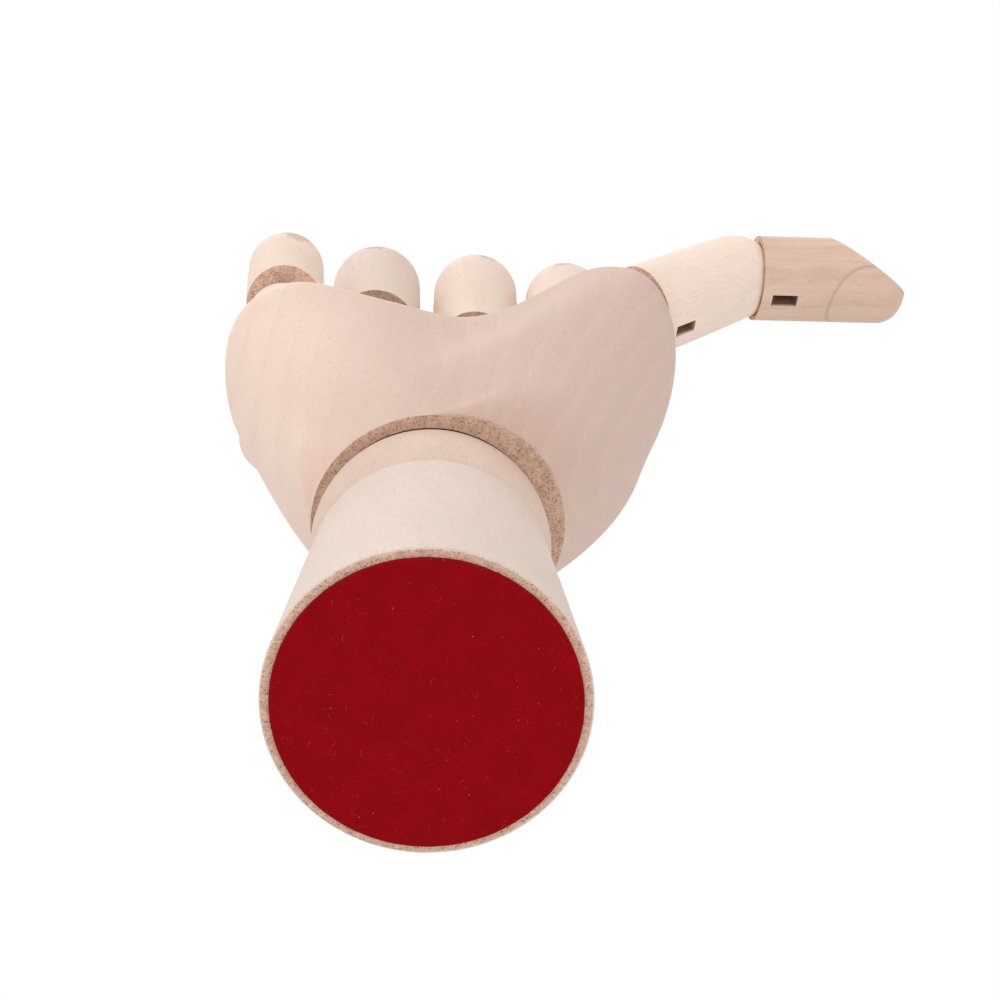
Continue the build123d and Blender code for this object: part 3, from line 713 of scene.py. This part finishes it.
def stray_fibres(name, disc, material):
    """Short bent fibres that lie on the felt, spread by a geometry tree."""
    props = bpy.context.scene.hand_felt
    tree = NodeTree("lint_fibres", {
        "Density": ("Float", props.lint_density),
        "Length": ("Float", props.lint_length),
        "Thickness": ("Float", props.lint_thickness),
        "Seed": ("Int", 7),
    })
    normal = tree.add("GeometryNodeInputNormal")
    down = tree.add("ShaderNodeSeparateXYZ", None, {"Vector": normal}, out=2)
    under = tree.add("FunctionNodeCompare", {"operation": "LESS_THAN"}, {"A": down, "B": -0.3})
    scatter = tree.add("GeometryNodeDistributePointsOnFaces", None, {
        "Mesh": tree.given("Geometry"), "Selection": under, "Density": tree.given("Density"),
        "Seed": tree.given("Seed")})
    hair = tree.add("GeometryNodeCurveQuadraticBezier", None, {
        "Resolution": 5, "Start": (0, 0, 0.00001), "Middle": (0.5, 0.28, 0.00002), "End": (1.0, 0, 0.00001)})
    sized = tree.add("ShaderNodeCombineXYZ", None, {
        "X": tree.given("Length"), "Y": tree.given("Length"), "Z": 1.0})
    hair = tree.add("GeometryNodeTransform", None, {"Geometry": hair, "Scale": sized})
    profile = tree.add("GeometryNodeCurvePrimitiveCircle", None, {"Resolution": 4, "Radius": tree.given("Thickness")})
    hair = tree.add("GeometryNodeCurveToMesh", None, {
        "Curve": hair, "Profile Curve": profile, "Fill Caps": True})
    spin = tree.add("FunctionNodeRandomValue", {"data_type": "FLOAT_VECTOR"}, {
        "Min": (0, 0, 0), "Max": (0, 0, 6.283), "Seed": tree.given("Seed")})
    size = tree.add("FunctionNodeRandomValue", {"data_type": "FLOAT"}, {
        2: 0.35, 3: 1.3, "Seed": tree.given("Seed")}, out=1)
    placed = tree.add("GeometryNodeInstanceOnPoints", None, {
        "Points": scatter, "Instance": hair, "Rotation": spin, "Scale": size})
    fibres = new_piece(name, [tuple(v.co) for v in disc.data.vertices], [],
                       [tuple(face.vertices) for face in disc.data.polygons])
    return tree.bake(fibres, placed, material)


def spring_wire(name, material):
    """The tension spring: a wound coil with a straight run and a round eye at each end."""
    props = bpy.context.scene.hand_steel
    low, high = (Vector(corner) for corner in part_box("wrist_spring"))
    wire = props.spring_wire / 2
    eye = props.spring_eye
    coil = props.spring_coil
    tall = props.spring_pitch * props.spring_turns
    bottom = props.spring_bottom
    points = []
    edges = []
    ends = (
        (bottom, bottom - coil, low.z + wire + eye, 1),
        (bottom + tall, bottom + tall + coil, high.z - wire - eye, -1),
    )
    for coil_end, bend, centre, side in ends:
        first = len(points)
        points.append((coil, 0, coil_end))
        for i in range(1, BEND_STEPS):
            turn = math.pi / 2 * i / BEND_STEPS
            points.append((coil * (1 - math.sin(turn)), 0, coil_end + (bend - coil_end) * (1 - math.cos(turn))))
        points.append((0, 0, bend))
        points.append((0, 0, centre + side * eye))
        for i in range(1, EYE_STEPS + 1):
            turn = 2 * math.pi * i / EYE_STEPS
            points.append((0, eye * math.sin(turn), centre + side * eye * math.cos(turn)))
        edges += [(i, i + 1) for i in range(first, len(points) - 1)]
    tree = NodeTree("wound_spring", {
        "Coil radius": ("Float", coil),
        "Turns": ("Float", float(props.spring_turns)),
        "Height": ("Float", tall),
        "Bottom": ("Float", bottom),
        "Wire radius": ("Float", wire),
    })
    turns = tree.add("GeometryNodeCurveSpiral", None, {
        "Resolution": 28, "Rotations": tree.given("Turns"), "Start Radius": tree.given("Coil radius"),
        "End Radius": tree.given("Coil radius"), "Height": tree.given("Height")})
    lift = tree.add("ShaderNodeCombineXYZ", None, {"Z": tree.given("Bottom")})
    turns = tree.add("GeometryNodeTransform", None, {"Geometry": turns, "Translation": lift})
    hooks = tree.add("GeometryNodeMeshToCurve", None, {"Mesh": tree.given("Geometry")})
    whole = tree.add("GeometryNodeJoinGeometry", None, {"Geometry": [turns, hooks]})
    round_wire = {"Resolution": 12, "Radius": tree.given("Wire radius")}
    profile = tree.add("GeometryNodeCurvePrimitiveCircle", None, round_wire)
    wound = tree.add("GeometryNodeCurveToMesh", None, {
        "Curve": whole, "Profile Curve": profile, "Fill Caps": True})
    smooth = tree.add("GeometryNodeSetShadeSmooth", None, {"Geometry": wound})
    return tree.bake(new_piece(name, points, edges, []), smooth, material)


class HAND_OT_felt(bpy.types.Operator):
    """Lay the felt disc and its stray fibres under the base"""
    bl_idname = "hand.felt"
    bl_label = "Felt pad"

    def execute(self, context):
        disc = felt_disc("felt_disc", felt("red_felt"))
        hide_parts("felt_pad")
        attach(disc, "base")
        fibres = stray_fibres("felt_lint", disc, lint("lint"))
        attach(fibres, "base")
        return {"FINISHED"}


class HAND_OT_palm(bpy.types.Operator):
    """Finish the carved palm"""
    bl_idname = "hand.palm"
    bl_label = "Palm"

    def execute(self, context):
        props = context.scene.hand_wood
        along = JOINTS["wrist_turn"]["axis"]
        ball = tuple(JOINTS["wrist_tilt"]["pos_m"])
        # Painted shade: along X, towards the thumb's side, the palm turns into its darker copy painted as shade.
        painted_side_shade = tuple(props.palm_painted_shade_colour), -0.032, 0.006
        finish = wood("palm_wood", tuple(props.palm_colour), along, ball, seed=21, pores=0.1, figure=0.55,
                      ends_below=props.wrist_face_height * 1000, painted_side_shade=painted_side_shade, end_tone=1.08)
        dress("palm", finish)
        return {"FINISHED"}


class HAND_OT_fingers(bpy.types.Operator):
    """Finish the four fingers"""
    bl_idname = "hand.fingers"
    bl_label = "Fingers"

    def execute(self, context):
        colour = tuple(context.scene.hand_wood.finger_colour)
        for i, finger in enumerate(FINGERS):
            for j, segment in enumerate(SEGMENTS):
                node = f"{finger}_{segment}"
                low, high = (Vector(corner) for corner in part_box(node))
                tone = 0.97 + 0.02 * ((3 * i + j) % 4) - (0.06 if finger == "ring" else 0)
                knot = None
                if segment == "distal":
                    side = (high.x - low.x) * (0.16 if i % 2 else -0.02)
                    place = (high.x + low.x) / 2 + side, low.y + 0.0007, high.z - 0.0052
                    knot = place, 0.0019 + 0.0004 * i
                finish = wood(f"{node}_wood", shaded(colour, tone), centre=(low + high) / 2,
                              seed=40 + 3 * i + j, pores=0.25, figure=0.55, knot=knot, end_tone=END_TONES[finger])
                dress(node, finish)
        return {"FINISHED"}


class HAND_OT_thumb(bpy.types.Operator):
    """Finish the thumb"""
    bl_idname = "hand.thumb"
    bl_label = "Thumb"

    def execute(self, context):
        props = context.scene.hand_wood
        (root, along), (end, reach) = thumb_lines()
        hinge = tuple(JOINTS["thumb_base"]["axis"])
        half_slot = props.slot_width / 2
        dress("thumb_proximal", wood("thumb_first_wood", shaded(tuple(props.finger_colour), 1.04), along, root,
                                     seed=61, pores=0.3, figure=0.3, end_tone=1.45,
                                     slot=(root, hinge, half_slot, props.thumb_root_radius)))
        dress("thumb_distal", wood("thumb_tip_wood", tuple(props.thumb_colour), reach, end, seed=66, pores=0.4,
                                   figure=1.4, ring=(tuple(props.ring_place), props.ring_radius), closeness=2.2,
                                   end_tone=1.3, slot=(end, hinge, half_slot, props.thumb_end_radius)))
        fillers = (
            ("thumb_mount_filler", "knuckle_pins", "palm", "palm_body", "palm_wood", root),
            ("thumb_proximal_filler", "thumb_proximal_pins", "thumb_proximal", "thumb_proximal_body", "thumb_wood",
             None),
            ("thumb_distal_filler", "thumb_distal_pins", "thumb_distal", "thumb_distal_body", "thumb_wood", None),
        )
        for name, pins, wood_node, body, slot, near in fillers:
            filler = pin_filler(name, pins, wood_node, near)
            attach(filler, body)
        return {"FINISHED"}


class HAND_OT_steel(bpy.types.Operator):
    """Finish the links, the pins, the rod and the spring"""
    bl_idname = "hand.steel"
    bl_label = "Steel"

    def execute(self, context):
        plain = steel("plain_steel")
        # Painted shade: the links get a third of the steel's colour so that where they show in the thumb's slot
        # windows they look as dark as the shade inside them.
        dark = steel("link_steel", 0.3)
        wire = steel("spring_wire", 1.15)
        for node in frame["nodes"]:
            if node.endswith("_link"):
                dress(node, dark)
            elif node.endswith("_pins") or node in ("spring_anchor_pin", "tie_rod"):
                dress(node, plain)
        spring = spring_wire("spring_coil", wire)
        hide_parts("wrist_spring")
        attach(spring, "base")
        return {"FINISHED"}


def lamp(name, place, target, size, power):
    """A soft square lamp that faces a point."""
    data = bpy.data.lights.new(name, "AREA")
    data.size = size
    data.energy = power
    lamp_object = bpy.data.objects.new(name, data)
    bpy.context.scene.collection.objects.link(lamp_object)
    lamp_object.location = place
    lamp_object.rotation_euler = (Vector(target) - Vector(place)).to_track_quat("-Z", "Y").to_euler()
    return lamp_object


class HAND_OT_stage(bpy.types.Operator):
    """Set the floor, the light and the camera"""
    bl_idname = "hand.stage"
    bl_label = "Stage"

    def execute(self, context):
        props = context.scene.hand_stage
        scene = context.scene
        scene.view_settings.view_transform = "Standard"

        floor_mesh = bpy.data.meshes.new("floor")
        corners = [(x * FLOOR_HALF, y * FLOOR_HALF, -FLOOR_DROP) for x, y in ((-1, -1), (1, -1), (1, 1), (-1, 1))]
        floor_mesh.from_pydata(corners, [], [(0, 1, 2, 3)])
        floor = bpy.data.objects.new("floor", floor_mesh)
        scene.collection.objects.link(floor)
        material, tree, shader = new_material("pale_floor")
        shader.inputs["Base Color"].default_value = rgba(tuple(props.floor_colour))
        shader.inputs["Roughness"].default_value = 0.9
        shader.inputs["Specular IOR Level"].default_value = 0.1
        clear = add(tree, "BsdfTransparent")
        direct = add(tree, "LightPath", None, None, out=0)
        under = add(tree, "NewGeometry", None, None, out=6)
        solid = direct * (1 - under)
        surface = add(tree, "MixShader", None, {0: solid, 1: clear, 2: Value(tree, shader.outputs[0])})
        tree.links.new(surface.socket, tree.nodes["Material Output"].inputs["Surface"])
        floor_mesh.materials.append(material)

        world = bpy.data.worlds.new("white_room")
        scene.world = world
        world.use_nodes = True
        tree = world.node_tree
        background = tree.nodes["Background"]
        background.inputs["Color"].default_value = (1, 1, 1, 1)
        seen = add(tree, "LightPath", None, None, out=0)
        glossy = add(tree, "LightPath", None, None, out=3)
        shown = seen.math("MAXIMUM", glossy)
        strength = shown * (1 - props.ambient) + props.ambient
        tree.links.new(strength.socket, background.inputs["Strength"])

        for name, place, size, power in LAMPS:
            lamp(name, place, LAMPS_FACE, size, getattr(props, power))

        camera_data = bpy.data.cameras.new("camera")
        camera_data.sensor_width = 36
        camera_data.lens = props.lens
        camera_data.clip_start = 0.01
        camera_data.clip_end = 20
        camera = bpy.data.objects.new("camera", camera_data)
        scene.collection.objects.link(camera)
        tilt = props.camera_tilt
        turn = Matrix(((1, 0, 0), (0, -math.cos(tilt), -math.sin(tilt)), (0, math.sin(tilt), -math.cos(tilt))))
        camera.matrix_world = Matrix.Translation(props.camera_place) @ turn.to_4x4()
        scene.camera = camera
        return {"FINISHED"}


class HAND_PT_panel(bpy.types.Panel):
    """The steps of dressing the hand, in order"""
    bl_idname = "HAND_PT_panel"
    bl_label = "Wooden Hand"
    bl_space_type = "VIEW_3D"
    bl_region_type = "UI"
    bl_category = "Wooden Hand"

    def draw(self, context):
        for operator in OPERATORS:
            self.layout.operator(operator.bl_idname)
        for name in GROUPS:
            group = getattr(context.scene, name)
            box = self.layout.box()
            for key in group.bl_rna.properties.keys():
                if key not in ("rna_type", "name"):
                    box.prop(group, key)


OPERATORS = (HAND_OT_base, HAND_OT_felt, HAND_OT_palm, HAND_OT_fingers, HAND_OT_thumb, HAND_OT_steel, HAND_OT_stage)
GROUPS = {"hand_wood": HandWood, "hand_felt": HandFelt, "hand_steel": HandSteel, "hand_stage": HandStage}


def register():
    """Register the groups, the operators and the panel."""
    for name, group in GROUPS.items():
        bpy.utils.register_class(group)
        setattr(bpy.types.Scene, name, bpy.props.PointerProperty(type=group))
    for operator in OPERATORS:
        bpy.utils.register_class(operator)
    bpy.utils.register_class(HAND_PT_panel)


def unregister():
    """Take away the panel, the operators and the groups."""
    bpy.utils.unregister_class(HAND_PT_panel)
    for operator in reversed(OPERATORS):
        bpy.utils.unregister_class(operator)
    for name, group in GROUPS.items():
        delattr(bpy.types.Scene, name)
        bpy.utils.unregister_class(group)


def main():
    """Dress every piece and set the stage."""
    register()
    for operator in OPERATORS:
        family, name = operator.bl_idname.split(".")
        getattr(getattr(bpy.ops, family), name)()


if __name__ == "__main__":
    main()
